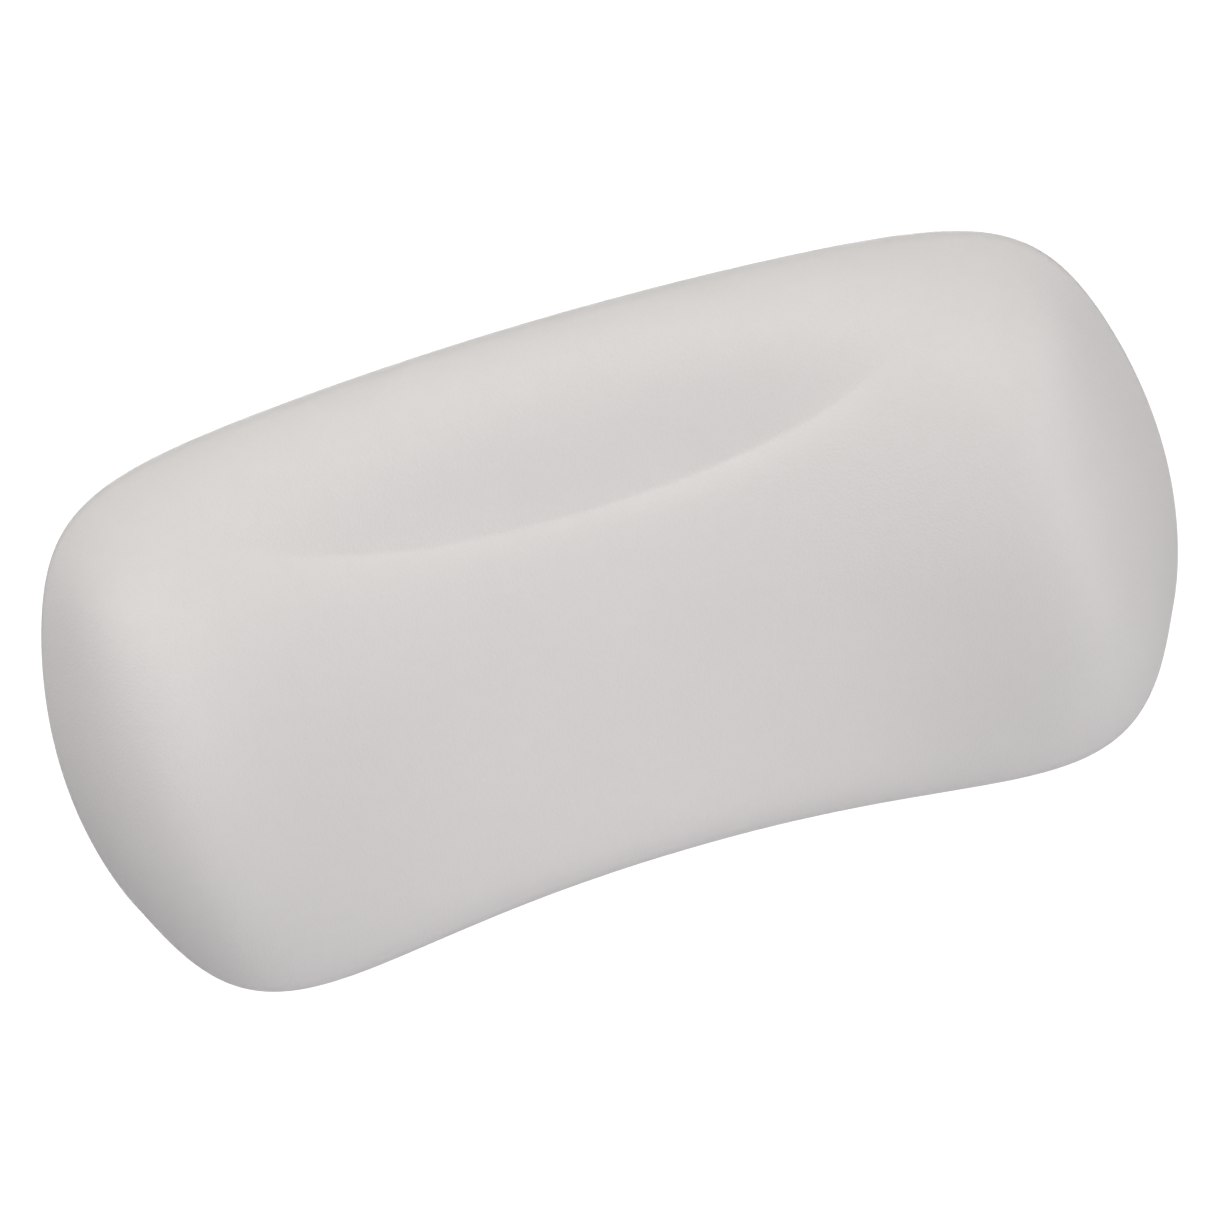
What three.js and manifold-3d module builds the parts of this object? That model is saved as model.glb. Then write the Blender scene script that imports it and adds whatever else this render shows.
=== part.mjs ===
// Bath pillow: a moulded neck pillow with a soft skin over a foam core. A stiff plate inside
// its back carries sockets, and a suction cup snaps into each socket and swivels in it.
// Millimetres, +Z up. The face looks towards -Y, and the tub wall is the plane y = 0.
import * as THREE from 'three';
import { mergeVertices } from 'three/addons/utils/BufferGeometryUtils.js';
import Module from 'manifold-3d';

const wasm = await Module();
wasm.setup();

// Outline of the pillow, seen from the front
const halfLength = 150; // middle to end, along the curve of the parting line
const halfHeight = 71;
const cornerPower = 9.3; // 2 would be an ellipse, more is squarer
const topNarrowing = 3.5; // each end leans in by this much at the top edge, and out at the lower one
const endBow = 18.6; // and each end draws in by this much at both edges, so it bows out in its middle
const cradleRadius = 430; // the whole pillow is bent round an upright axis in front of it

// Depth of the face in front of the parting line, and of the back behind it
const faceDepth = 42.7;
const neckGain = 14.9; // deeper by this much at the lower edge, and shallower at the upper one
const lobeGain = 79.8; // deeper by this much towards the ends, which hug the neck
const lobePower = 2.36; // more keeps the middle flatter
const lobeCrown = 26.8; // how far a lobe rounds away above and below its fullest place
const lobeRise = 34.9; // a lobe's fullest place lies this far above mid height
const faceCrown = 5; // how far the face rounds away above and below mid height
const backDepth = 18;
const endPower = 2.32; // the face's ends are broad rounds
const endRoot = 2.94;
const upperPower = 2.5; // and so is its upper edge
const upperRoot = 1.8;
const lowerPower = 15; // its lower edge is a tighter one
const lowerRoot = 1.6;
const meetPower = 2; // more keeps the corners fuller, where the rounds of an end and an edge meet
const backPower = 8; // roundness of the back's edges
const backRoot = 2;

// Hollow for the head, above a crease that sweeps up towards both ends
const hollowDepth = 3; // at the crease, in the middle of the pillow
const hollowGain = 7; // deeper by this much towards the ends, until it fades
const creaseHeight = 32; // above mid height, in the middle of the pillow
const creaseRise = 55.5; // how much higher the crease would be at the very end
const creasePower = 2.11;
const creaseReach = 165; // where the hollow would have faded out, from the middle
const fadePower = 4; // more keeps its depth for longer
const dishHeight = 12.7; // above the crease the hollow has come back to the face within this height
const dishPower = 1.6;
const shoulderWidth = 32; // the neck roll rounds over into the crease within this height
const shoulderPower = 8.3; // steepest at the crease
const creaseEdgeShare = 0.88; // near the ends the crease stays inside this share of the outline

// Skin, and the clearance between pieces that touch
const skinWall = 3;
const clearance = 0.3;
const overcut = 1; // how far a cut runs past the face that it opens

// Suction cups, and the places they take in the back
const standOff = 6; // from the tub wall to the rearmost line of the back
const cupSpread = 58; // sideways from the middle to a cup's axis
const cupEdge = 35; // from the pillow's upper or lower edge to a cup's axis
const cupRadius = 23;
const cupHeight = 10; // rim to the shoulder where the neck starts
const cupHollow = 7.5; // depth of the suction hollow
const lipThickness = 1.2;
const lipFlat = 2.4; // width of the flat sealing ring
const cupShoulderRadius = 7;
const neckRadius = 5;
const headRadius = 7.4;
const headLength = 5.5;
const headTipRadius = 4.2;
const headSide = 1.8; // straight side of the head, before it tapers
const tabWidth = 12; // pull tab at the cup's rim
const tabLength = 9;
const tabThickness = 1.6;
const tabLift = 0.7; // from the tub wall to the tab
const tabRoot = 3; // how far the tab runs into the cup's lip

// Moulded pockets, sockets and the plate that carries them
const pocketDepth = 4; // below the back, on a cup's axis
const pocketRadius = 17;
const socketRadius = 10;
const socketLip = 4; // length of the narrow mouth that holds a cup's neck
const socketLead = 1; // funnel that lets a cup's head snap in
const headRoom = 0.6; // free length round a cup's head
const socketEnd = 2; // wall that keeps the foam out
const flangeRadius = 15;
const flangeThickness = 2;
const plateCover = 3.5; // foam between a pocket's floor and the plate
const plateThickness = 3;
const plateOverhang = 27; // past a cup's axis, sideways
const plateMargin = 17; // from the pillow's upper and lower edge
const plateCorner = 14;
const windowHalfWidth = 24; // window in the middle that the foam keys into
const windowHalfHeight = 34;
const windowCorner = 9;
const slotHalfWidth = 15; // smaller window between an upper and a lower socket
const slotHalfHeight = 7;
const slotCorner = 5;

// Fineness of the facets
const skinDetail = { stations: 24, edge: 4, middle: 3, shoulder: 4, upper: 5, back: 8 };
const coreDetail = { stations: 10, edge: 3, middle: 2, shoulder: 2, upper: 3, back: 6 };
const roundSegments = 20;
const arcSegments = 4;
const edgeInner = THREE.MathUtils.degToRad(15); // where the round of the lower edge gives way to the face
const quarterTurn = Math.PI / 2;

// Colours and finishes
const skinLook = { color: 0xdedbd9, roughness: 0.55, metalness: 0 };
const foamLook = { color: 0xe9e2cf, roughness: 0.95, metalness: 0 };
const plateLook = { color: 0xb9bcbe, roughness: 0.6, metalness: 0 };
const socketLook = { color: 0xd4d6d7, roughness: 0.5, metalness: 0 };
const cupLook = { color: 0xc9d2d6, roughness: 0.3, metalness: 0 };

const signedPower = (value, power) => Math.sign(value) * Math.abs(value) ** power;

// Solids: a closed geometry becomes a body to join and cut, and a body becomes a mesh
function body(geometry) {
  const bare = geometry.clone();
  bare.deleteAttribute('normal');
  bare.deleteAttribute('uv');
  const merged = mergeVertices(bare);
  const corners = merged.index.array;
  const kept = [];
  for (let i = 0; i < corners.length; i += 3) {
    const [a, b, c] = [corners[i], corners[i + 1], corners[i + 2]];
    if (a !== b && b !== c && c !== a) kept.push(a, b, c);
  }
  if (signedVolume(merged.attributes.position, kept) < 0) kept.reverse();
  const vertProperties = new Float32Array(merged.attributes.position.array);
  return new wasm.Manifold(new wasm.Mesh({ numProp: 3, vertProperties, triVerts: new Uint32Array(kept) }));
}

function signedVolume(position, corners) {
  const [a, b, c] = [new THREE.Vector3(), new THREE.Vector3(), new THREE.Vector3()];
  let sixfold = 0;
  for (let i = 0; i < corners.length; i += 3) {
    a.fromBufferAttribute(position, corners[i]);
    b.fromBufferAttribute(position, corners[i + 1]);
    c.fromBufferAttribute(position, corners[i + 2]);
    sixfold += a.dot(b.cross(c));
  }
  return sixfold;
}

function mesh(name, solid, look) {
  const { vertProperties, triVerts } = solid.getMesh();
  const geometry = new THREE.BufferGeometry();
  geometry.setAttribute('position', new THREE.BufferAttribute(vertProperties, 3));
  geometry.setIndex(new THREE.BufferAttribute(triVerts, 1));
  geometry.computeVertexNormals();
  const piece = new THREE.Mesh(geometry, new THREE.MeshStandardMaterial(look));
  piece.name = name;
  return piece;
}

// The pillow's form: u runs along its length, v upwards and w out of the face
const partingY = -standOff - backDepth;

function bent(u, v, w) {
  const up = v / halfHeight;
  const lean = 1 - (topNarrowing * up + endBow * up ** 2) / halfLength;
  const turn = (u * lean) / cradleRadius;
  const reach = cradleRadius - w;
  return new THREE.Vector3(reach * Math.sin(turn), partingY - cradleRadius + reach * Math.cos(turn), v);
}

function outlineHeight(u, inset) {
  const share = Math.abs(u) / (halfLength - inset);
  return (halfHeight - inset) * (1 - share ** cornerPower) ** (1 / cornerPower);
}

const creaseAt = (u) => creaseHeight + creaseRise * (Math.abs(u) / halfLength) ** creasePower;

function hollowAt(u, v) {
  const fade = Math.max(0, 1 - (Math.abs(u) / creaseReach) ** fadePower) ** 2;
  const depth = fade * (hollowDepth + hollowGain * (u / halfLength) ** 2);
  const above = Math.max(0, v - creaseAt(u));
  const below = Math.max(0, creaseAt(u) - v);
  const shoulder = Math.max(0, 1 - below / shoulderWidth) ** shoulderPower;
  const dish = 1 - (above / dishHeight) ** dishPower;
  return depth * shoulder * dish;
}

// The rounds of an end and an edge together: no more than the lesser of the two shares
function met(end, edge) {
  const both = end ** meetPower + edge ** meetPower - (end * edge) ** meetPower;
  return (end * edge) / both ** (1 / meetPower);
}

function faceAt(u, v, inset) {
  const along = Math.abs(u) / halfLength;
  const up = v / halfHeight;
  const offFullest = (v - lobeRise) / halfHeight;
  const lobes = along ** lobePower * (lobeGain - lobeCrown * offFullest ** 2);
  const full = faceDepth - neckGain * up - faceCrown * up ** 2 + lobes - hollowAt(u, v) - inset;
  const end = Math.abs(u) / (halfLength - inset);
  const edge = Math.min(1, Math.abs(v) / outlineHeight(u, inset));
  const upper = (1 - edge ** upperPower) ** (1 / upperRoot);
  const lower = (1 - edge ** lowerPower) ** (1 / lowerRoot);
  return full * met((1 - end ** endPower) ** (1 / endRoot), v > 0 ? upper : lower);
}

function backAt(u, v, inset) {
  const end = Math.abs(u) / (halfLength - inset);
  const edge = Math.min(1, Math.abs(v) / outlineHeight(u, inset));
  return (inset - backDepth) * ((1 - end ** backPower) * (1 - edge ** backPower)) ** (1 / backRoot);
}

// One closed section of the pillow: up the face from the lower edge, and down the back
function section(u, inset, detail) {
  const height = outlineHeight(u, inset);
  const crease = Math.min(creaseAt(u), creaseEdgeShare * height);
  const shoulderFoot = Math.max(crease - shoulderWidth, 0);
  const edgeFoot = -height * Math.sin(edgeInner) ** (2 / lowerPower);
  const heights = [];
  for (let i = 0; i < detail.edge; i += 1) {
    const angle = THREE.MathUtils.lerp(quarterTurn, edgeInner, i / detail.edge);
    heights.push(-height * Math.sin(angle) ** (2 / lowerPower));
  }
  for (let i = 0; i < detail.middle; i += 1) {
    heights.push(THREE.MathUtils.lerp(edgeFoot, shoulderFoot, i / detail.middle));
  }
  for (let i = 0; i < detail.shoulder; i += 1) {
    heights.push(THREE.MathUtils.lerp(shoulderFoot, crease, i / detail.shoulder));
  }
  const creaseAngle = Math.asin((crease / height) ** (upperPower / 2));
  for (let i = 0; i <= detail.upper; i += 1) {
    const angle = THREE.MathUtils.lerp(creaseAngle, quarterTurn, i / detail.upper);
    heights.push(height * Math.sin(angle) ** (2 / upperPower));
  }
  const ring = heights.map((v) => bent(u, v, faceAt(u, v, inset)));
  for (let i = 1; i < detail.back; i += 1) {
    const angle = THREE.MathUtils.lerp(quarterTurn, -quarterTurn, i / detail.back);
    const v = height * signedPower(Math.sin(angle), 2 / backPower);
    ring.push(bent(u, v, backAt(u, v, inset)));
  }
  return ring;
}

// A loft through the sections, closed to a point at both ends
function pillowForm(inset, detail) {
  const length = halfLength - inset;
  const rings = [];
  for (let i = 1; i < detail.stations; i += 1) {
    const angle = THREE.MathUtils.lerp(-quarterTurn, quarterTurn, i / detail.stations);
    rings.push(section(length * Math.sin(angle), inset, detail));
  }
  const count = rings[0].length;
  const points = [...rings.flat(), bent(-length, 0, 0), bent(length, 0, 0)];
  const [firstTip, lastTip] = [points.length - 2, points.length - 1];
  const lastRing = (rings.length - 1) * count;
  const corners = [];
  for (let j = 0; j < count; j += 1) {
    const next = (j + 1) % count;
    corners.push(firstTip, next, j, lastTip, lastRing + j, lastRing + next);
    for (let i = 0; i < lastRing; i += count) {
      corners.push(i + j, i + next, i + count + j, i + next, i + count + next, i + count + j);
    }
  }
  const geometry = new THREE.BufferGeometry().setFromPoints(points);
  geometry.setIndex(corners);
  return body(geometry);
}

// Places along a cup's axis, as y, worked out from the back's line at the cup
const cupLine = bent(cupSpread, 0, -backDepth).y;
const pocketFloor = cupLine - pocketDepth;
const lipEnd = pocketFloor - socketLip;
const headStart = lipEnd - clearance;
const headEnd = headStart - headLength;
const chamberEnd = headEnd - headRoom;
const plateBack = pocketFloor - skinWall - plateCover;
const plateFront = plateBack - plateThickness;
const flangeBack = plateFront - clearance;
const flangeFront = flangeBack - flangeThickness;
const socketFront = Math.min(chamberEnd - socketEnd, flangeFront);
const cupSides = [{ name: 'left', x: -cupSpread }, { name: 'right', x: cupSpread }];
const cupLevels = [{ name: 'upper', z: halfHeight - cupEdge }, { name: 'lower', z: cupEdge - halfHeight }];
const cupPlaces = cupLevels.flatMap((level) => cupSides.map((side) => (
  { name: `${level.name}_${side.name}`, x: side.x, z: level.z }
)));

// A body turned round the Y axis from a profile of radius and y, and a plain round plug
function turned(profile) {
  const outline = profile.map(([radius, y]) => new THREE.Vector2(radius, y));
  return body(new THREE.LatheGeometry([...outline, outline[0]], roundSegments));
}

const plug = (radius, fromY, toY) => turned([[0, fromY], [radius, fromY], [radius, toY], [0, toY]]);
const atCups = (solid) => cupPlaces.map(({ x, z }) => solid.translate([x, 0, z]));
const cutBy = (solid, cutters) => cutters.reduce((rest, cutter) => rest.subtract(cutter), solid);

// A flat piece with round corners, standing upright between two y places
function roundedOutline(halfWidth, halfTall, corner, path = new THREE.Shape()) {
  const [x, z] = [halfWidth - corner, halfTall - corner];
  path.absarc(x, z, corner, 0, quarterTurn);
  path.absarc(-x, z, corner, quarterTurn, 2 * quarterTurn);
  path.absarc(-x, -z, corner, 2 * quarterTurn, 3 * quarterTurn);
  path.absarc(x, -z, corner, 3 * quarterTurn, 4 * quarterTurn);
  path.closePath();
  return path;
}

function upright(shape, fromY, toY) {
  const options = { depth: toY - fromY, bevelEnabled: false, curveSegments: arcSegments };
  const geometry = new THREE.ExtrudeGeometry(shape, options);
  return body(geometry.rotateX(quarterTurn).translate(0, toY, 0));
}

// Stiffener plate: grow swells it on every side, for the space that the foam leaves round it
function plateBody(grow) {
  const [fromY, toY] = [plateFront - grow, plateBack + grow];
  const tall = halfHeight - plateMargin + grow;
  const outline = roundedOutline(cupSpread + plateOverhang + grow, tall, plateCorner + grow);
  const window = roundedOutline(windowHalfWidth - grow, windowHalfHeight - grow, windowCorner - grow);
  const slot = roundedOutline(slotHalfWidth - grow, slotHalfHeight - grow, slotCorner - grow);
  const opening = upright(slot, fromY - overcut, toY + overcut);
  const openings = [upright(window, fromY - overcut, toY + overcut)];
  for (const { x } of cupSides) openings.push(opening.translate([x, 0, 0]));
  return cutBy(upright(outline, fromY, toY), openings);
}

// Socket: a closed bush with a flange in front of the plate, and a narrow mouth for the neck
function socketOutside(grow) {
  const tube = plug(socketRadius + grow, socketFront - grow, pocketFloor + grow);
  return tube.add(plug(flangeRadius + grow, flangeFront - grow, flangeBack + grow));
}

function socketBody() {
  const mouth = neckRadius + clearance;
  const chamber = headRadius + clearance;
  const inside = turned([
    [0, chamberEnd], [chamber, chamberEnd], [chamber, lipEnd], [mouth, lipEnd],
    [mouth, pocketFloor - socketLead], [mouth + socketLead, pocketFloor],
    [mouth + socketLead, pocketFloor + overcut], [0, pocketFloor + overcut],
  ]);
  return socketOutside(0).subtract(inside);
}

// Suction cup: a thin bell with a flat sealing ring, a neck and a mushroom head
function bellCurve(fromRadius, fromY, toRadius, toY) {
  const start = new THREE.Vector2(fromRadius, fromY);
  const middle = new THREE.Vector2((fromRadius + toRadius) / 2, toY);
  const curve = new THREE.QuadraticBezierCurve(start, middle, new THREE.Vector2(toRadius, toY));
  return curve.getPoints(arcSegments).map((point) => [point.x, point.y]);
}

function cupBody() {
  const outside = bellCurve(cupRadius, -lipThickness, cupShoulderRadius, -cupHeight);
  const inside = bellCurve(cupRadius - lipFlat, 0, 0, -cupHollow);
  const bell = turned([
    ...inside.reverse(), [cupRadius, 0], ...outside, [neckRadius, -cupHeight],
    [neckRadius, headStart], [headRadius, headStart], [headRadius, headStart - headSide],
    [headTipRadius, headEnd], [0, headEnd],
  ]);
  return bell.add(pullTab());
}

function pullTab() {
  const half = tabWidth / 2;
  const straight = cupRadius + tabLength - half;
  const shape = new THREE.Shape();
  shape.moveTo(-half, tabRoot - cupRadius);
  shape.lineTo(-half, -straight);
  shape.absarc(0, -straight, half, Math.PI, 2 * Math.PI);
  shape.lineTo(half, tabRoot - cupRadius);
  shape.closePath();
  return upright(shape, -tabLift - tabThickness, -tabLift);
}

// Skin: hollow, with a walled pocket round each cup and a hole for each socket
function skinBody() {
  const pocketWall = plug(pocketRadius + skinWall, pocketFloor - skinWall, 0);
  const hollow = cutBy(pillowForm(skinWall, coreDetail), atCups(pocketWall));
  const pocket = plug(pocketRadius, pocketFloor, 0);
  const hole = plug(socketRadius + clearance, socketFront, 0);
  return cutBy(pillowForm(0, skinDetail), [hollow, ...atCups(pocket), ...atCups(hole)]);
}

// Core: fills the skin, and leaves room for the pockets, the plate and the sockets
function coreBody() {
  const gap = skinWall + clearance;
  const pocket = plug(pocketRadius + gap, pocketFloor - gap, 0);
  const socketSpace = socketOutside(clearance).add(plug(socketRadius + clearance, plateFront, 0));
  const cutters = [plateBody(clearance), ...atCups(pocket), ...atCups(socketSpace)];
  return cutBy(pillowForm(gap, coreDetail), cutters);
}

// Plate with a round hole for each socket
function plateWithHoles() {
  const hole = plug(socketRadius + clearance, plateFront - overcut, plateBack + overcut);
  return cutBy(plateBody(0), atCups(hole));
}

const pillow = new THREE.Group();
pillow.name = 'bath_pillow';
pillow.add(mesh('pillow_skin', skinBody(), skinLook));
pillow.add(mesh('foam_core', coreBody(), foamLook));
pillow.add(mesh('stiffener_plate', plateWithHoles(), plateLook));
for (const { name, x, z } of cupPlaces) {
  const socket = mesh(`cup_socket_${name}`, socketBody(), socketLook);
  const cup = mesh(`suction_cup_${name}`, cupBody(), cupLook);
  socket.position.set(x, 0, z);
  cup.position.set(x, 0, z);
  pillow.add(socket, cup);
}

export default pillow;
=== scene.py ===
"""Bath pillow: the looks of a moulded neck pillow with suction cups on its back.

Metres, +Z up. The face looks towards -Y, and the tub wall is the plane y = 0. The pillow's form
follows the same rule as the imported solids, on a finer mesh with soft edges.
"""

import math

import bpy
import numpy as np
from mathutils import Matrix, Vector


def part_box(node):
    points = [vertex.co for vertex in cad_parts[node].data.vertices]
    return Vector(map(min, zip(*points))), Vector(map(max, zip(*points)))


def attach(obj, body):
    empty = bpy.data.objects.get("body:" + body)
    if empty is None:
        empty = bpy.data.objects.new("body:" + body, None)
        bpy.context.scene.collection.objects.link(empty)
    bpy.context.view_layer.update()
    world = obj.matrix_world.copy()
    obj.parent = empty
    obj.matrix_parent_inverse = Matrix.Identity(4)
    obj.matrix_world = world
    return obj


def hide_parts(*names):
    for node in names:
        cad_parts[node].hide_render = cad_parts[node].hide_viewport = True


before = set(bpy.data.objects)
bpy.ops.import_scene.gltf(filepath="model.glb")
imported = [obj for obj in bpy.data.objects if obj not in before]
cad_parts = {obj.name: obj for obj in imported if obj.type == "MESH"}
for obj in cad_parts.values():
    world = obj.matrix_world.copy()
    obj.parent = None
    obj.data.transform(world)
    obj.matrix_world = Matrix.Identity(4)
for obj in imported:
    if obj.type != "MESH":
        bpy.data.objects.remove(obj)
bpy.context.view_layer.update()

MM = 0.001

# Outline of the pillow, seen from the front
HALF_LENGTH = 150 * MM
HALF_HEIGHT = 71 * MM
CORNER_POWER = 9.3  # more makes the corners squarer
TOP_NARROWING = 3.5 * MM  # at each end of the top edge, and the bottom edge is as much wider
END_BOW = 18.6 * MM  # how far an end stands out at mid height, past its corners
CRADLE_RADIUS = 430 * MM  # the whole body is bent round this

# Depth of the face in front of the parting line, and of the back behind it
FACE_DEPTH = 42.7 * MM
NECK_GAIN = 14.9 * MM  # more depth at the bottom edge, for the neck roll, and less at the top
LOBE_GAIN = 79.8 * MM
LOBE_POWER = 2.36
LOBE_CROWN = 26.8 * MM
LOBE_RISE = 34.9 * MM  # height at which the end lobes are fullest
FACE_CROWN = 5 * MM
BACK_DEPTH = 18 * MM

# Rounds towards the ends and edges, by the power and the root of round_off
END_POWER, END_ROOT = 2.32, 2.94
UPPER_POWER, UPPER_ROOT = 2.5, 1.8
LOWER_POWER, LOWER_ROOT = 15, 1.6
BACK_POWER, BACK_ROOT = 8, 2
MEET_POWER = 2  # more keeps the corners fuller, where the rounds of an end and an edge meet

# Hollow for the head, above the crease
HOLLOW_DEPTH = 3 * MM
HOLLOW_GAIN = 7 * MM  # more depth towards the ends
CREASE_HEIGHT = 32 * MM
CREASE_RISE = 55.5 * MM
CREASE_POWER = 2.11
CREASE_REACH = 165 * MM  # from the middle, where the hollow would have faded away
FADE_POWER = 4
DISH_HEIGHT = 12.7 * MM  # above the crease, where the dish comes back to the face
DISH_POWER = 1.6
SHOULDER_WIDTH = 32 * MM  # below the crease, where the neck roll begins to fall off to it
SHOULDER_POWER = 12
CREASE_SOFTNESS = 0.5 * MM

# Skin, and the gap between pieces that touch
SKIN_WALL = 3 * MM
CLEARANCE = 0.3 * MM
PLATE_ROOM = 1.2 * CLEARANCE  # round the plate in the foam

# Suction cups, sockets and the plate that carries them
STAND_OFF = 6 * MM
CUP_SPREAD = 58 * MM
CUP_LEVEL = 36 * MM
CUP_RADIUS = 23 * MM
CUP_HEIGHT = 10 * MM
CUP_HOLLOW = 7.5 * MM
LIP_THICKNESS = 1.2 * MM
LIP_FLAT = 2.4 * MM
CUP_SHOULDER_RADIUS = 7 * MM
NECK_RADIUS = 5 * MM
HEAD_RADIUS = 7.4 * MM
HEAD_LENGTH = 5.5 * MM
HEAD_TIP_RADIUS = 4.2 * MM
HEAD_SIDE = 1.8 * MM
TAB_WIDTH = 12 * MM
TAB_LENGTH = 9 * MM
TAB_THICKNESS = 1.6 * MM
TAB_LIFT = 0.7 * MM
TAB_ROOT = 2 * MM  # how far the tab reaches in under the rim
TAB_ROOT_ROUND = 0.15  # 1 would end the tab's root in a half circle
TAB_EDGE_ROUND = 0.45 * TAB_THICKNESS
RIB_COUNT = 3
RIB_PITCH = 1.9 * MM
RIB_HALF_LENGTH = 3.6 * MM
RIB_RADIUS = 0.45 * MM
POCKET_DEPTH = 4 * MM
POCKET_RADIUS = 17 * MM
POCKET_ROUND = 2 * MM
SOCKET_RADIUS = 10 * MM
SOCKET_LIP = 4 * MM
SOCKET_LEAD = 1 * MM
HEAD_ROOM = 0.6 * MM
SOCKET_END = 2 * MM
FLANGE_RADIUS = 15 * MM
FLANGE_THICKNESS = 2 * MM
EDGE_ROUND = 0.4 * MM  # on the edges of sockets and cups

# Fineness of the meshes
ROUND_SEGMENTS = 96
ROUND_STEPS = 5  # of the round on a profile's corner
BELL_STEPS = 20  # of a curve of a cup's bell
RIB_SEGMENTS, RIB_RINGS = 24, 12
SHARP_ANGLE = math.radians(40)  # an edge that turns by more is shown sharp
WELD = 0.002 * MM
SKIN_MESH = {"stations": 270, "face": 170, "back": 90}
LINING_MESH = {"stations": 90, "face": 60, "back": 36}
DENSE = 1500  # samples that the even spacing along a line is worked out from
END_CROWDING = 4  # power by which those samples crowd towards the ends of the line
LAST_SECTION = 1 - 1e-5  # share of the way to an end at which the last full section lies
CAP_SHARES = (0.1, 0.3, 0.5, 0.7, 0.9)  # sections of the cap on an end, against the last full one
CREASE_BAND = 4 * MM  # rows of the mesh crowd within this height of the crease
CREASE_CROWD = 22 * MM  # as though the face were this much longer on each side of it

# Places along a cup's axis, as y
PARTING_Y = -STAND_OFF - BACK_DEPTH
BACK_RADIUS = CRADLE_RADIUS + BACK_DEPTH
CUP_LINE = PARTING_Y - CRADLE_RADIUS + BACK_RADIUS * math.cos(CUP_SPREAD / CRADLE_RADIUS)
POCKET_FLOOR = CUP_LINE - POCKET_DEPTH
LIP_END = POCKET_FLOOR - SOCKET_LIP
HEAD_START = LIP_END - CLEARANCE
HEAD_END = HEAD_START - HEAD_LENGTH
CHAMBER_END = HEAD_END - HEAD_ROOM
PLATE_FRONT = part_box("stiffener_plate")[0].y
FLANGE_BACK = PLATE_FRONT - CLEARANCE
FLANGE_FRONT = FLANGE_BACK - FLANGE_THICKNESS
SOCKET_FRONT = min(CHAMBER_END - SOCKET_END, FLANGE_FRONT)
TAB_FRONT = -TAB_LIFT - TAB_THICKNESS

# Places across it: the cups, and a tab's root and round end below the middle of its cup
CUP_PLACES = {
    f"{level}_{side}": Vector((x, 0, z))
    for level, z in (("upper", CUP_LEVEL), ("lower", -CUP_LEVEL))
    for side, x in (("left", -CUP_SPREAD), ("right", CUP_SPREAD))
}
TAB_NEAR = CUP_RADIUS - TAB_ROOT
TAB_FAR = CUP_RADIUS + TAB_LENGTH - TAB_WIDTH / 2


class Signal:
    """An output in a node tree. An expression on values adds its Math nodes to the tree."""

    def __init__(self, tree, socket=None):
        self.tree = tree
        self.socket = socket

    def node(self, kind, settings=None, inputs=None, output=0):
        """Adds a node: its settings come first, then the values or links of its sockets."""
        made = self.tree.nodes.new(kind)
        for name, value in (settings or {}).items():
            setattr(made, name, value)
        for name, value in (inputs or {}).items():
            for one in value if isinstance(value, list) else [value]:
                if isinstance(one, Signal):
                    self.tree.links.new(one.socket, made.inputs[name])
                else:
                    made.inputs[name].default_value = one
        return Signal(self.tree, made.outputs[output] if len(made.outputs) else None)

    def output(self, name):
        """Another output of the same node."""
        return Signal(self.tree, self.socket.node.outputs[name])

    def math(self, operation, *values):
        return self.node("ShaderNodeMath", {"operation": operation}, dict(enumerate(values)))

    def mixed(self, low, high):
        """A colour between low and high, by this value as the share."""
        inputs = {0: self, 6: low, 7: high}  # the Mix node's factor and its two colours
        return self.node("ShaderNodeMix", {"data_type": "RGBA"}, inputs, output=2)

    def __add__(self, other):
        return self.math("ADD", self, other)

    def __sub__(self, other):
        return self.math("SUBTRACT", self, other)

    def __rsub__(self, other):
        return self.math("SUBTRACT", other, self)

    def __mul__(self, other):
        return self.math("MULTIPLY", self, other)

    def __lt__(self, other):
        return self.math("LESS_THAN", self, other)

    __radd__ = __add__
    __rmul__ = __mul__


# The pillow's form: u runs along its length, v upwards and w out of the face
def bent(u, v, w):
    """Places in the frame: the ends are bowed, and the body is bent round its cradle."""
    up = v / HALF_HEIGHT
    lean = 1 - (TOP_NARROWING * up + END_BOW * up**2) / HALF_LENGTH
    turn = u * lean / CRADLE_RADIUS
    reach = CRADLE_RADIUS - w
    y = PARTING_Y - CRADLE_RADIUS + reach * np.cos(turn)
    return np.stack([reach * np.sin(turn), y, v], axis=-1)


def round_off(share, power, root):
    """What is left of a size, at a share of the way to an end or an edge."""
    return (1 - np.abs(share) ** power) ** (1 / root)


def outline_height(end, inset):
    return (HALF_HEIGHT - inset) * round_off(end, CORNER_POWER, CORNER_POWER)


def above_crease(u, v):
    return v - CREASE_HEIGHT - CREASE_RISE * (np.abs(u) / HALF_LENGTH) ** CREASE_POWER


def hollow_at(u, v):
    """Depth of the hollow: a dish above the crease, and a shoulder that falls off to it below."""
    fade = np.maximum(0, 1 - (np.abs(u) / CREASE_REACH) ** FADE_POWER) ** 2
    depth = fade * (HOLLOW_DEPTH + HOLLOW_GAIN * (u / HALF_LENGTH) ** 2)
    over = above_crease(u, v)
    soft = np.hypot(over, CREASE_SOFTNESS)
    shoulder = np.maximum(0, 1 - (soft - over) / 2 / SHOULDER_WIDTH) ** SHOULDER_POWER
    dish = 1 - ((soft + over) / 2 / DISH_HEIGHT) ** DISH_POWER
    return depth * shoulder * dish


def met(end, edge):
    """The rounds of an end and an edge together: no more than the lesser of the two shares."""
    both = end**MEET_POWER + edge**MEET_POWER - (end * edge) ** MEET_POWER
    return end * edge / both ** (1 / MEET_POWER)


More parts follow.
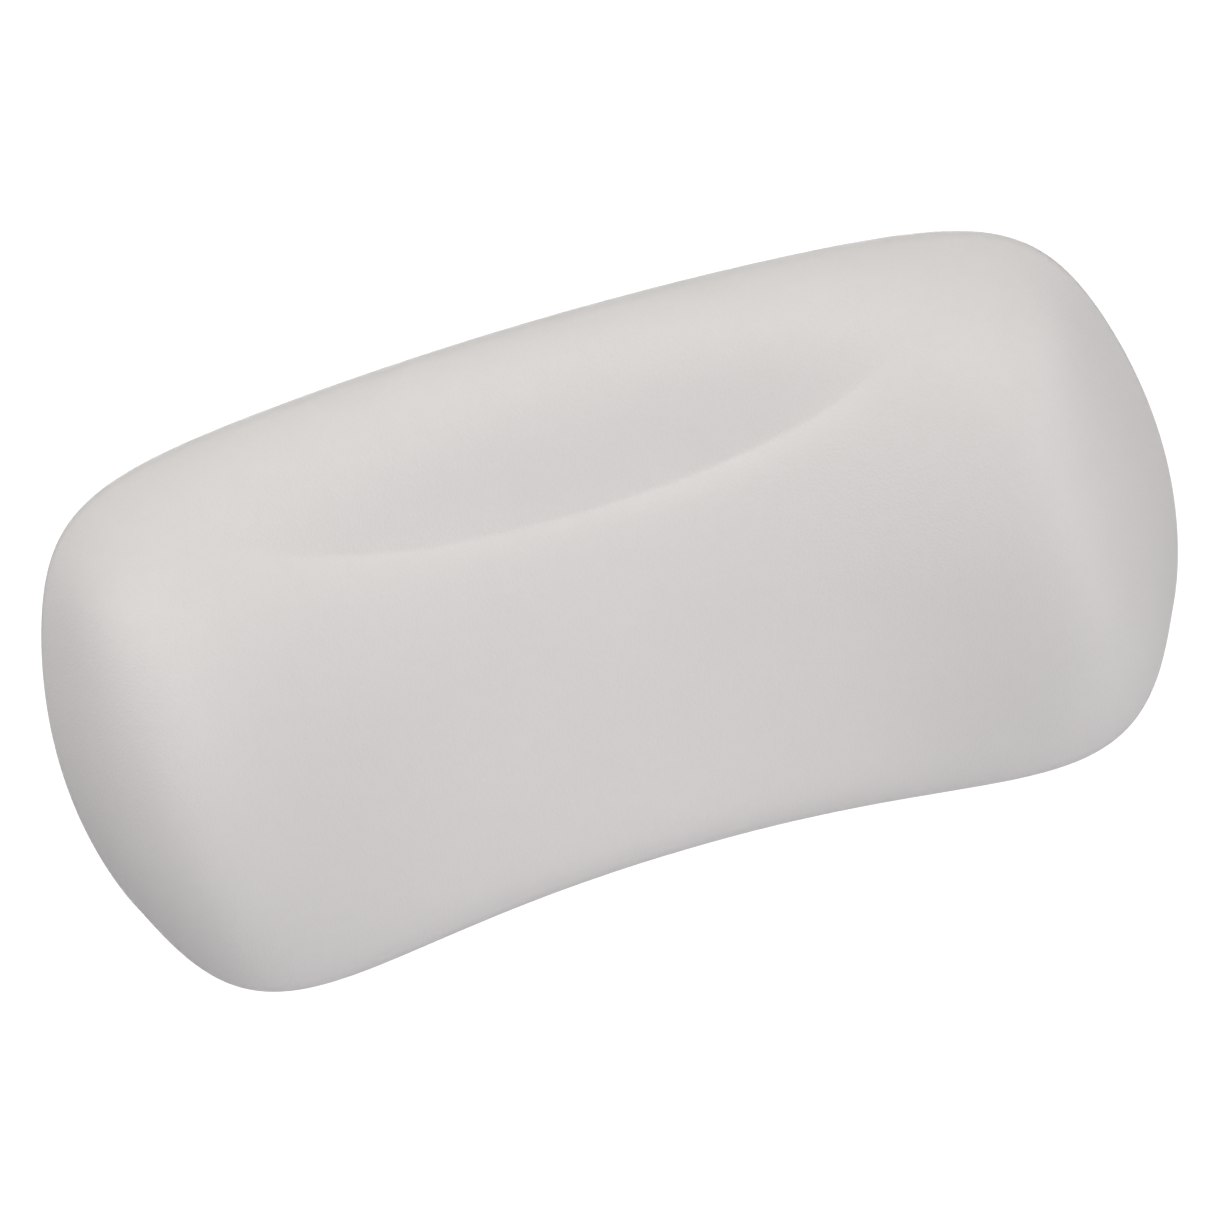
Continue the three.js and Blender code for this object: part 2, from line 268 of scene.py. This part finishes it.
def face_at(end, edge, inset):
    """How far the face stands out, at shares of the way to the end and to the edge."""
    u = end * (HALF_LENGTH - inset)
    v = edge * outline_height(end, inset)
    along, up, off_fullest = np.abs(u) / HALF_LENGTH, v / HALF_HEIGHT, (v - LOBE_RISE) / HALF_HEIGHT
    lobes = along**LOBE_POWER * (LOBE_GAIN - LOBE_CROWN * off_fullest**2)
    full = FACE_DEPTH - NECK_GAIN * up - FACE_CROWN * up**2 + lobes - hollow_at(u, v) - inset
    upper = round_off(edge, UPPER_POWER, UPPER_ROOT)
    lower = round_off(edge, LOWER_POWER, LOWER_ROOT)
    return full * met(round_off(end, END_POWER, END_ROOT), np.where(edge > 0, upper, lower))


def back_at(end, edge, inset):
    """How far the back lies behind the parting line, as a depth below zero."""
    left = (1 - np.abs(end) ** BACK_POWER) * (1 - np.abs(edge) ** BACK_POWER)
    return (inset - BACK_DEPTH) * left ** (1 / BACK_ROOT)


def crowded(count):
    """Shares from -1 to 1 that crowd towards both ends, where the form turns fastest."""
    way = np.linspace(-1, 1, count)
    return np.sign(way) * (1 - (1 - np.abs(way)) ** END_CROWDING)


def evenly(shares, line, wanted):
    """The shares at which a line of points has gone the wanted parts of its length."""
    gone = np.concatenate([[0], np.cumsum(np.linalg.norm(np.diff(line, axis=0), axis=1))])
    return np.interp(wanted * gone[-1], gone, shares)


def section(end, share, inset, mesh):
    """One ring of the body: up the face, with rows that crowd along the crease, and down the back.

    A share under 1 draws the ring in towards its middle, for the cap on an end.
    """
    dense = crowded(DENSE)
    tall = dense * outline_height(end, inset)
    crowd = CREASE_CROWD * np.tanh(above_crease(end * (HALF_LENGTH - inset), tall) / CREASE_BAND)
    face_line = np.stack([tall, face_at(end, dense, inset), crowd], axis=1)
    back_line = np.stack([tall, back_at(end, dense, inset)], axis=1)
    up = evenly(dense, face_line, np.linspace(0, 1, mesh["face"]))[:-1]
    down = -evenly(dense, back_line, np.linspace(0, 1, mesh["back"]))[:-1]
    depth = np.concatenate([face_at(end, up, inset), back_at(end, down, inset)])
    height = np.concatenate([up, down]) * outline_height(end, inset)
    return bent(end * (HALF_LENGTH - inset), share * height, share * depth)


def pillow_form(name, inset, mesh):
    """A closed body lofted through sections that are spaced evenly over the surface."""
    half = HALF_LENGTH - inset
    dense = LAST_SECTION * crowded(DENSE)
    depth = face_at(dense, 0 * dense, inset)
    middle = np.stack([dense * half, outline_height(dense, inset), depth], axis=1)
    ends = evenly(dense, middle, np.linspace(0, 1, mesh["stations"]))
    first_cap = [section(ends[0], share, inset, mesh) for share in CAP_SHARES]
    last_cap = [section(ends[-1], share, inset, mesh) for share in reversed(CAP_SHARES)]
    rings = [*first_cap, *(section(end, 1, inset, mesh) for end in ends), *last_cap]
    tips = bent(np.array([-1, 1]) * half, np.zeros(2), np.zeros(2))
    return new_piece(name, np.concatenate([*rings, tips]), faces=loft_faces(len(rings), len(rings[0])))


def loft_faces(rings, count):
    """Faces between rings of so many points each, closed to a tip at either end."""
    last_ring, first_tip = (rings - 1) * count, rings * count
    last_tip = first_tip + 1
    faces = []
    for j in range(count):
        after = (j + 1) % count
        faces.append((first_tip, j, after))
        faces.append((last_tip, last_ring + after, last_ring + j))
        for i in range(0, last_ring, count):
            faces.append((i + j, i + count + j, i + count + after, i + after))
    return faces


# Meshes and pieces
def new_piece(name, points, faces=(), edges=()):
    mesh = bpy.data.meshes.new(name)
    mesh.from_pydata([tuple(p) for p in points], edges, faces)
    piece = bpy.data.objects.new(name, mesh)
    bpy.context.scene.collection.objects.link(piece)
    return piece


def profile_line(name, profile):
    """A profile's points, joined by edges, for a tree to turn."""
    edges = [(i, i + 1) for i in range(len(profile) - 1)]
    return new_piece(name, [(p.x, p.y, 0) for p in profile], edges=edges)


def settle(piece):
    """Turns the modifiers' result into the piece's own plain mesh."""
    shown = piece.evaluated_get(bpy.context.evaluated_depsgraph_get())
    mesh = bpy.data.meshes.new_from_object(shown)
    piece.modifiers.clear()
    piece.data = mesh
    mesh.name = piece.name
    return piece


def weld(piece):
    """Makes one point of those that lie closer together than any detail."""
    modifier = piece.modifiers.new("weld", "WELD")
    modifier.merge_threshold = WELD


def without(piece, *others):
    """The piece with the others cut out of it. The others are used up."""
    for other in others:
        modifier = piece.modifiers.new("cut", "BOOLEAN")
        modifier.solver = "MANIFOLD"
        modifier.operation = "DIFFERENCE"
        modifier.object = other
    weld(piece)
    settle(piece)
    for other in others:
        bpy.data.objects.remove(other)
    return piece


def finished(piece, finish):
    """Smooth faces with sharp edges kept, and one material."""
    piece.data.materials.clear()
    piece.data.materials.append(finish)
    piece.data.shade_smooth()
    piece.data.set_sharp_from_angle(angle=SHARP_ANGLE)
    return piece


def rounded(corners):
    """A profile line of radius and y. A corner's third number is the radius of its round."""
    line = []
    for i, (radius, y, *fillet) in enumerate(corners):
        corner = Vector((radius, y))
        if not fillet:
            line.append(corner)
            continue
        before = (Vector(corners[i - 1][:2]) - corner).normalized()
        after = (Vector(corners[i + 1][:2]) - corner).normalized()
        half = before.angle(after) / 2
        start = corner + before * fillet[0] / math.tan(half)
        finish = corner + after * fillet[0] / math.tan(half)
        centre = corner + (before + after).normalized() * fillet[0] / math.sin(half)
        for step in range(ROUND_STEPS + 1):
            spoke = (start - centre).lerp(finish - centre, step / ROUND_STEPS)
            line.append(centre + spoke.normalized() * fillet[0])
    return line


# Geometry Nodes: a piece turned from a profile, and a suction cup with its pull tab
TURNED_INPUTS = {
    "Profile": "NodeSocketGeometry",
    "Segments": "NodeSocketInt",
    "Place": "NodeSocketVector",
    "Finish": "NodeSocketMaterial",
}
TAB_INPUTS = {
    "Tab profile": "NodeSocketObject",
    "Tab start": "NodeSocketFloat",
    "Tab stretch": "NodeSocketFloat",
    "Tab root": "NodeSocketFloat",
    "Rib count": "NodeSocketInt",
    "Rib first": "NodeSocketVector",
    "Rib step": "NodeSocketVector",
    "Rib size": "NodeSocketVector",
}


def node_group(name, sockets):
    """A tree with named inputs, the Signal of its input node, and the inputs' identifiers."""
    tree = bpy.data.node_groups.new(name, "GeometryNodeTree")
    tree.interface.new_socket("Geometry", in_out="OUTPUT", socket_type="NodeSocketGeometry")
    keys = {}
    for label, kind in sockets.items():
        keys[label] = tree.interface.new_socket(label, in_out="INPUT", socket_type=kind).identifier
    start = Signal(tree).node("NodeGroupInput")
    return tree, start, keys


def turned_surface(start, profile):
    """A grid with a row for each point of the profile, wrapped round the Y axis and closed."""
    size = start.node("GeometryNodeAttributeDomainSize", {"component": "MESH"}, {"Geometry": profile})
    columns = start.output("Segments") + 1
    grid = start.node("GeometryNodeMeshGrid", None, {"Vertices X": columns, "Vertices Y": size})
    way = start.node("ShaderNodeSeparateXYZ", None, {0: grid.output("UV Map")})
    row = start.math("ROUND", way.output("Y") * (size - 1))
    sampled = start.node(
        "GeometryNodeSampleIndex",
        {"data_type": "FLOAT_VECTOR"},
        {"Geometry": profile, "Value": start.node("GeometryNodeInputPosition"), "Index": row},
    )
    place = start.node("ShaderNodeSeparateXYZ", None, {0: sampled})
    angle = way.output("X") * math.tau
    x = place.output("X") * start.math("COSINE", angle)
    z = place.output("X") * start.math("SINE", angle)
    wrapped = start.node("ShaderNodeCombineXYZ", None, {"X": x, "Y": place.output("Y"), "Z": z})
    return merged(start, moved(start, grid, wrapped))


def moved(start, mesh, places):
    return start.node("GeometryNodeSetPosition", None, {"Geometry": mesh, "Position": places})


def merged(start, mesh):
    return start.node("GeometryNodeMergeByDistance", None, {"Geometry": mesh, "Distance": WELD})


def put_down(start, solid):
    """Takes the solid to its place, gives it its finish, and ends the tree."""
    shift = {"Geometry": solid, "Translation": start.output("Place")}
    placed = start.node("GeometryNodeTransform", None, shift)
    plain = start.node("GeometryNodeRealizeInstances", None, {"Geometry": placed})
    coat = {"Geometry": plain, "Material": start.output("Finish")}
    start.node("NodeGroupOutput", None, {0: start.node("GeometryNodeSetMaterial", None, coat)})


def turned_tree():
    tree, start, keys = node_group("turned", TURNED_INPUTS)
    put_down(start, turned_surface(start, start.output("Profile")))
    return tree, keys


def cup_tree():
    """A turned bell joined to a pull tab, which has grip ribs across it."""
    tree, start, keys = node_group("suction_cup", {**TURNED_INPUTS, **TAB_INPUTS})
    bell = turned_surface(start, start.output("Profile"))
    tab_line = {0: start.output("Tab profile")}
    outline = start.node("GeometryNodeObjectInfo", None, tab_line, output="Geometry")
    tab = stretched(start, turned_surface(start, outline))
    solid = start.node(
        "GeometryNodeMeshBoolean",
        {"operation": "UNION", "solver": "MANIFOLD"},
        {"Mesh 2": [bell, tab, grip_ribs(start)]},
    )
    put_down(start, merged(start, solid))
    return tree, keys


def stretched(start, disc):
    """A disc made a tab: its lower half is moved away, and its upper half is a flat root."""
    spot = start.node("ShaderNodeSeparateXYZ", None, {0: start.node("GeometryNodeInputPosition")})
    height = spot.output("Z")
    lower = (height < -WELD) * (height - start.output("Tab stretch"))
    upper = (1 - (height < -WELD)) * height * start.output("Tab root")
    level = lower + upper - start.output("Tab start")
    place = start.node("ShaderNodeCombineXYZ", None, {"X": spot, "Y": spot.output("Y"), "Z": level})
    return moved(start, disc, place)


def grip_ribs(start):
    """A row of long balls that lie half sunk in the tab."""
    points = start.node("GeometryNodeMeshLine", None, {
        "Count": start.output("Rib count"),
        "Start Location": start.output("Rib first"),
        "Offset": start.output("Rib step"),
    })
    ball = start.node("GeometryNodeMeshUVSphere", None, {
        "Segments": RIB_SEGMENTS, "Rings": RIB_RINGS, "Radius": 1,
    })
    ribs = start.node("GeometryNodeInstanceOnPoints", None, {
        "Points": points, "Instance": ball, "Scale": start.output("Rib size"),
    })
    return start.node("GeometryNodeRealizeInstances", None, {"Geometry": ribs})


def grown(tree_and_keys, name, profile, **values):
    """A piece grown by a tree from a profile line, as a plain mesh."""
    tree, keys = tree_and_keys
    piece = profile_line(name, profile)
    modifier = piece.modifiers.new(tree.name, "NODES")
    modifier.node_group = tree
    for label, value in values.items():
        modifier[keys[label.replace("_", " ")]] = value
    return settle(piece)


def at_cups(tree_and_keys, name, profile, **values):
    """A piece grown at each cup's place, by the name of the place."""
    values["Segments"] = ROUND_SEGMENTS
    return {
        where: grown(tree_and_keys, f"{name}_{where}", profile, Place=place, **values)
        for where, place in CUP_PLACES.items()
    }


# Profiles of the turned pieces. Each runs from back to front, so that its faces look outwards
def pocket_profile(grow):
    """Pocket round a cup, and the hole for its socket, as the space that is taken out."""
    hole, radius = SOCKET_RADIUS + CLEARANCE, POCKET_RADIUS + grow
    floor = POCKET_FLOOR - grow
    return rounded([
        (0, 0),
        (radius, 0),
        (radius, floor, POCKET_ROUND + grow),
        (hole, floor),
        (hole, SOCKET_FRONT),
        (0, SOCKET_FRONT),
    ])


def pocket_wall():
    """The skin's wall round a pocket, as the space that its lining leaves out."""
    radius, floor = POCKET_RADIUS + SKIN_WALL, POCKET_FLOOR - SKIN_WALL
    return rounded([(0, 0), (radius, 0), (radius, floor, POCKET_ROUND + SKIN_WALL), (0, floor)])


def socket_profile():
    mouth, chamber = NECK_RADIUS + CLEARANCE, HEAD_RADIUS + CLEARANCE
    return rounded([
        (0, CHAMBER_END),
        (chamber, CHAMBER_END, EDGE_ROUND),
        (chamber, LIP_END, EDGE_ROUND / 4),
        (mouth, LIP_END),
        (mouth, POCKET_FLOOR - SOCKET_LEAD, EDGE_ROUND / 2),
        (mouth + SOCKET_LEAD, POCKET_FLOOR, EDGE_ROUND / 2),
        (SOCKET_RADIUS, POCKET_FLOOR, EDGE_ROUND),
        (SOCKET_RADIUS, FLANGE_BACK, EDGE_ROUND / 4),
        (FLANGE_RADIUS, FLANGE_BACK, EDGE_ROUND),
        (FLANGE_RADIUS, FLANGE_FRONT, EDGE_ROUND),
        (SOCKET_RADIUS, FLANGE_FRONT, EDGE_ROUND / 4),
        (SOCKET_RADIUS, SOCKET_FRONT, EDGE_ROUND),
        (0, SOCKET_FRONT),
    ])


def socket_space():
    """Room for a socket in the foam."""
    tube, flange = SOCKET_RADIUS + CLEARANCE, FLANGE_RADIUS + CLEARANCE
    flange_back, flange_front = FLANGE_BACK + CLEARANCE, FLANGE_FRONT - CLEARANCE
    front = SOCKET_FRONT - CLEARANCE
    return rounded([
        (0, 0),
        (tube, 0),
        (tube, flange_back),
        (flange, flange_back),
        (flange, flange_front),
        (tube, flange_front),
        (tube, front),
        (0, front),
    ])


def bell_curve(start, finish):
    """A curve that leaves steeply and ends flat, as a bell's shoulder does."""
    start, finish = Vector(start), Vector(finish)
    middle = Vector(((start.x + finish.x) / 2, finish.y))
    shares = [i / BELL_STEPS for i in range(BELL_STEPS + 1)]
    return [(1 - t) ** 2 * start + 2 * t * (1 - t) * middle + t**2 * finish for t in shares]


def cup_profile():
    inside = bell_curve((CUP_RADIUS - LIP_FLAT, 0), (0, -CUP_HOLLOW))
    outside = bell_curve((CUP_RADIUS, -LIP_THICKNESS), (CUP_SHOULDER_RADIUS, -CUP_HEIGHT))
    lip = rounded([
        inside[0][:],
        (CUP_RADIUS, 0, EDGE_ROUND),
        (CUP_RADIUS, -LIP_THICKNESS, EDGE_ROUND / 2),
        outside[1][:],
    ])
    stem = rounded([
        outside[-1][:],
        (NECK_RADIUS, -CUP_HEIGHT, 3 * EDGE_ROUND),
        (NECK_RADIUS, HEAD_START, EDGE_ROUND),
        (HEAD_RADIUS, HEAD_START, EDGE_ROUND),
        (HEAD_RADIUS, HEAD_START - HEAD_SIDE, 2 * EDGE_ROUND),
        (HEAD_TIP_RADIUS, HEAD_END, 2 * EDGE_ROUND),
        (0, HEAD_END),
    ])
    return inside[::-1] + lip[1:-1] + outside[1:-1] + stem


def tab_profile():
    half = TAB_WIDTH / 2
    return rounded([
        (0, -TAB_LIFT),
        (half, -TAB_LIFT, TAB_EDGE_ROUND),
        (half, TAB_FRONT, TAB_EDGE_ROUND),
        (0, TAB_FRONT),
    ])


# Materials. The scale of a pattern is its count in a metre
def material(name):
    """A new material, with the Signal that adds its nodes and the shader's node."""
    made = bpy.data.materials.new(name)
    made.use_nodes = True
    shader = next(n for n in made.node_tree.nodes if n.type == "BSDF_PRINCIPLED")
    return made, Signal(made.node_tree), shader


def feed(paint, shader, **sockets):
    """Links signals to the shader, and sets plain values on its own sockets."""
    for label, value in sockets.items():
        socket = shader.inputs[label.replace("_", " ")]
        if isinstance(value, Signal):
            paint.tree.links.new(value.socket, socket)
        else:
            socket.default_value = value


def noise(paint, scale, detail=2, rough=0.5):
    spot = paint.node("ShaderNodeTexCoord", output="Object")
    return paint.node("ShaderNodeTexNoise", None, {
        "Vector": spot, "Scale": scale, "Detail": detail, "Roughness": rough,
    })


def cells(paint, scale, feature="F1"):
    spot = paint.node("ShaderNodeTexCoord", output="Object")
    inputs = {"Vector": spot, "Scale": scale}
    return paint.node("ShaderNodeTexVoronoi", {"feature": feature}, inputs)


def bump(paint, height, depth, strength):
    inputs = {"Height": height, "Distance": depth, "Strength": strength}
    return paint.node("ShaderNodeBump", None, inputs)


def color(red, green, blue):
    return (red, green, blue, 1)


def moulded_skin():
    """Self-skinned foam: satin, almost even in colour, with a fine leather grain from the mould."""
    made, paint, shader = material("moulded_skin")
    clouds = noise(paint, scale=26)
    specks = noise(paint, scale=420)
    slopes = 4 * cells(paint, scale=800, feature="DISTANCE_TO_EDGE")
    pebbles = paint.math("MINIMUM", slopes, 1)
    grain = noise(paint, scale=1500)
    dark, light = color(0.655, 0.634, 0.624), color(0.685, 0.662, 0.652)
    feed(
        paint, shader,
        Base_Color=(0.7 * clouds + 0.3 * specks).mixed(dark, light),
        Roughness=0.52 + 0.08 * clouds + 0.04 * grain,
        Normal=bump(paint, 0.6 * pebbles + 0.4 * grain, depth=0.07 * MM, strength=0.9),
        Specular_IOR_Level=0.3,
    )
    return made


def open_foam():
    """Foam under the skin: cream, with open cells of two sizes, and painted shade that darkens the
    pits of the cells.
    """
    made, paint, shader = material("open_foam")
    depth = 0.6 * cells(paint, scale=420) + 0.4 * cells(paint, scale=1100)
    # The colour follows the depth of the cells and is darker in their pits: painted shade.
    dark, light = color(0.62, 0.55, 0.40), color(0.86, 0.81, 0.68)
    feed(
        paint, shader,
        Base_Color=depth.mixed(dark, light),
        Roughness=0.98 - 0.1 * depth,
        Normal=bump(paint, depth, depth=0.6 * MM, strength=0.8),
        Specular_IOR_Level=0.2,
    )
    return made


def moulded_plastic(name, dark, light, rough):
    """Injection moulded plastic: a fine spark grain and slight flow clouds."""
    made, paint, shader = material(name)
    clouds = noise(paint, scale=60)
    grain = noise(paint, scale=1800)
    feed(
        paint, shader,
        Base_Color=clouds.mixed(dark, light),
        Roughness=rough + 0.12 * grain - 0.06 * clouds,
        Normal=bump(paint, grain, depth=0.04 * MM, strength=0.5),
    )
    return made


def soft_vinyl():
    """Suction cups: milky translucent vinyl, glossy, with faint flow marks from the mould."""
    made, paint, shader = material("soft_vinyl")
    flow = noise(paint, scale=90, detail=4, rough=0.6)
    haze = noise(paint, scale=700)
    dark, light = color(0.70, 0.75, 0.78), color(0.80, 0.84, 0.86)
    feed(
        paint, shader,
        Base_Color=flow.mixed(dark, light),
        Roughness=0.26 + 0.1 * haze,
        Normal=bump(paint, 0.7 * flow + 0.3 * haze, depth=0.05 * MM, strength=0.25),
        Transmission_Weight=0.3,
        IOR=1.5,
    )
    return made


def bare_floor():
    """Lit white floor and walls: even in tone, with barely visible clouds."""
    made, paint, shader = material("bare_floor")
    shade = noise(paint, scale=2, detail=3).mixed(color(0.99, 0.99, 0.99), color(1, 1, 1))
    feed(
        paint, shader,
        Base_Color=color(0, 0, 0),
        Roughness=1.0,
        Specular_IOR_Level=0.0,
        Emission_Color=shade,
        Emission_Strength=1.1,
    )
    return made


# Pieces
def pillow_skin(turned, finish):
    """Hollow skin, with a walled pocket round each cup and a hole for each socket."""
    skin = pillow_form("pillow_body", 0, SKIN_MESH)
    lining = pillow_form("lining", SKIN_WALL, LINING_MESH)
    without(lining, *at_cups(turned, "wall", pocket_wall()).values())
    pockets = at_cups(turned, "pocket", pocket_profile(0))
    return finished(without(skin, lining, *pockets.values()), finish)


def foam_filling(turned, finish):
    """Fills the skin, and leaves room for the pockets, the sockets and the plate."""
    gap = SKIN_WALL + CLEARANCE
    foam = pillow_form("foam_filling", gap, LINING_MESH)
    pockets = at_cups(turned, "pocket", pocket_profile(gap))
    sockets = at_cups(turned, "socket", socket_space())
    without(foam, *pockets.values())
    without(foam, *sockets.values())
    return finished(without(foam, plate_space()), finish)


def plate_space():
    """Room for the plate in the foam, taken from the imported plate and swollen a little."""
    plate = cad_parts["stiffener_plate"]
    space = bpy.data.objects.new("plate_space", plate.data.copy())
    bpy.context.scene.collection.objects.link(space)
    weld(space)
    swell = space.modifiers.new("swell", "DISPLACE")
    swell.strength = PLATE_ROOM
    swell.mid_level = 0
    return settle(space)


def dress(piece, body, node):
    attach(piece, body)
    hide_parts(node)


def dress_pillow(turned):
    skin = pillow_skin(turned, moulded_skin())
    dress(skin, "pillow", "pillow_skin")
    foam = foam_filling(turned, open_foam())
    dress(foam, "pillow", "foam_core")


def dress_plate():
    """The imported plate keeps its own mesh, and gets a finish."""
    dark, light = color(0.42, 0.44, 0.45), color(0.52, 0.54, 0.55)
    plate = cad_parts["stiffener_plate"]
    plate.data.materials.clear()
    plate.data.materials.append(moulded_plastic("plate_plastic", dark, light, rough=0.5))


def dress_sockets(turned):
    dark, light = color(0.62, 0.63, 0.64), color(0.70, 0.71, 0.72)
    bush = moulded_plastic("socket_plastic", dark, light, rough=0.42)
    sockets = at_cups(turned, "socket", socket_profile(), Finish=bush)
    for where, socket in sockets.items():
        dress(finished(socket, bush), "pillow", f"cup_socket_{where}")


def dress_cups():
    vinyl = soft_vinyl()
    tab = profile_line("tab_line", tab_profile())
    cups = at_cups(
        cup_tree(), "cup", cup_profile(),
        Finish=vinyl,
        Tab_profile=tab,
        Tab_start=TAB_NEAR,
        Tab_stretch=TAB_FAR - TAB_NEAR,
        Tab_root=TAB_ROOT_ROUND,
        Rib_count=RIB_COUNT,
        Rib_first=Vector((0, TAB_FRONT, -TAB_FAR + RIB_PITCH)),
        Rib_step=Vector((0, 0, -RIB_PITCH)),
        Rib_size=Vector((RIB_HALF_LENGTH, RIB_RADIUS, RIB_RADIUS)),
    )
    bpy.data.objects.remove(tab)
    for where, cup in cups.items():
        dress(finished(cup, vinyl), f"cup_{where}", f"suction_cup_{where}")


# Camera
PHOTO_SIDE = 1225  # pixels
PHOTO_FOCUS = 5067  # focal length in pixels
SENSOR = 36  # millimetres
AIM = Vector((0, -49 * MM, 0))
AIM_OFFSET = (0.02 * MM, -0.98 * MM)  # where the middle of the picture lies beside the aim
CAMERA_DISTANCE = 1.3
CAMERA_RISE = math.radians(30.17)
CAMERA_ROLL = math.radians(16.4)

# Soft boxes: azimuth and elevation in degrees, watts and tint. Azimuth 0 is in front, 90 at the right
BOX_SIDE = 1.0
BOX_DISTANCE = 1.6
WARM, NEUTRAL, COOL = (1, 0.997, 0.982), (1, 1, 1), (1, 0.993, 1.02)
LIGHTS = {
    "key_light": (-60, 73, 12, WARM),
    "front_top_light": (8, 64, 8.4, WARM),
    "back_top_light": (-158, 74, 1.8, WARM),
    "right_light": (86, 16, 6.1, NEUTRAL),
    "low_right_light": (52, -24, 12.2, COOL),
    "low_left_light": (-50, -12, 9.5, COOL),
    "low_light": (-20, -40, 3.4, COOL),
    "back_light": (180, -22, 20, NEUTRAL),
}
WORLD_LIGHT = 0.15

# White floor and walls
ROOM_HALF_SIDE = 6
FLOOR_LEVEL = -0.8
WALL_TOP = 6


def photo_camera():
    lens = bpy.data.cameras.new("photo_camera")
    lens.sensor_width = SENSOR
    lens.lens = SENSOR * PHOTO_FOCUS / PHOTO_SIDE
    camera = bpy.data.objects.new("photo_camera", lens)
    bpy.context.scene.collection.objects.link(camera)
    level_up = Vector((0, math.sin(CAMERA_RISE), math.cos(CAMERA_RISE)))
    level_right = Vector((1, 0, 0))
    right = math.cos(CAMERA_ROLL) * level_right - math.sin(CAMERA_ROLL) * level_up
    up = math.sin(CAMERA_ROLL) * level_right + math.cos(CAMERA_ROLL) * level_up
    towards_camera = right.cross(up)
    middle = AIM + CAMERA_DISTANCE * towards_camera
    camera.matrix_world = Matrix((right, up, towards_camera)).transposed().to_4x4()
    camera.location = middle + AIM_OFFSET[0] * right + AIM_OFFSET[1] * up
    bpy.context.scene.camera = camera


def soft_light(name, azimuth, elevation, watts, tint):
    """A square soft box that looks at the pillow."""
    lamp = bpy.data.lights.new(name, "AREA")
    lamp.energy = watts
    lamp.color = tint
    lamp.size = BOX_SIDE
    light = bpy.data.objects.new(name, lamp)
    bpy.context.scene.collection.objects.link(light)
    turn, rise = math.radians(azimuth), math.radians(elevation)
    level = math.cos(rise)
    away = Vector((math.sin(turn) * level, -math.cos(turn) * level, math.sin(rise)))
    light.matrix_world = away.to_track_quat("Z", "Y").to_matrix().to_4x4()
    light.location = AIM + BOX_DISTANCE * away


def faint_world():
    """An even light from all round, which keeps the shadows open."""
    world = bpy.data.worlds.new("studio")
    bpy.context.scene.world = world
    world.use_nodes = True
    backdrop = next(n for n in world.node_tree.nodes if n.type == "BACKGROUND")
    backdrop.inputs["Color"].default_value = color(1, 1, 1)
    backdrop.inputs["Strength"].default_value = WORLD_LIGHT


def white_room():
    """A floor with four walls, which the camera sees and which throw no light on the pillow."""
    square = [(-ROOM_HALF_SIDE, -ROOM_HALF_SIDE), (ROOM_HALF_SIDE, -ROOM_HALF_SIDE)]
    square += [(-x, -y) for x, y in square]
    corners = [(x, y, z) for z in (FLOOR_LEVEL, WALL_TOP) for x, y in square]
    walls = [(1, 0, 4, 5), (2, 1, 5, 6), (3, 2, 6, 7), (0, 3, 7, 4)]
    floor = new_piece("floor", corners, faces=[(0, 1, 2, 3), *walls])
    floor.data.materials.append(bare_floor())
    floor.visible_diffuse = False
    floor.visible_glossy = False
    floor.visible_shadow = False


def studio():
    photo_camera()
    for name, setting in LIGHTS.items():
        soft_light(name, *setting)
    faint_world()
    bpy.context.scene.view_settings.view_transform = "Standard"
    white_room()


def build_pieces():
    turned = turned_tree()
    dress_pillow(turned)
    dress_plate()
    dress_sockets(turned)
    dress_cups()


studio()
build_pieces()
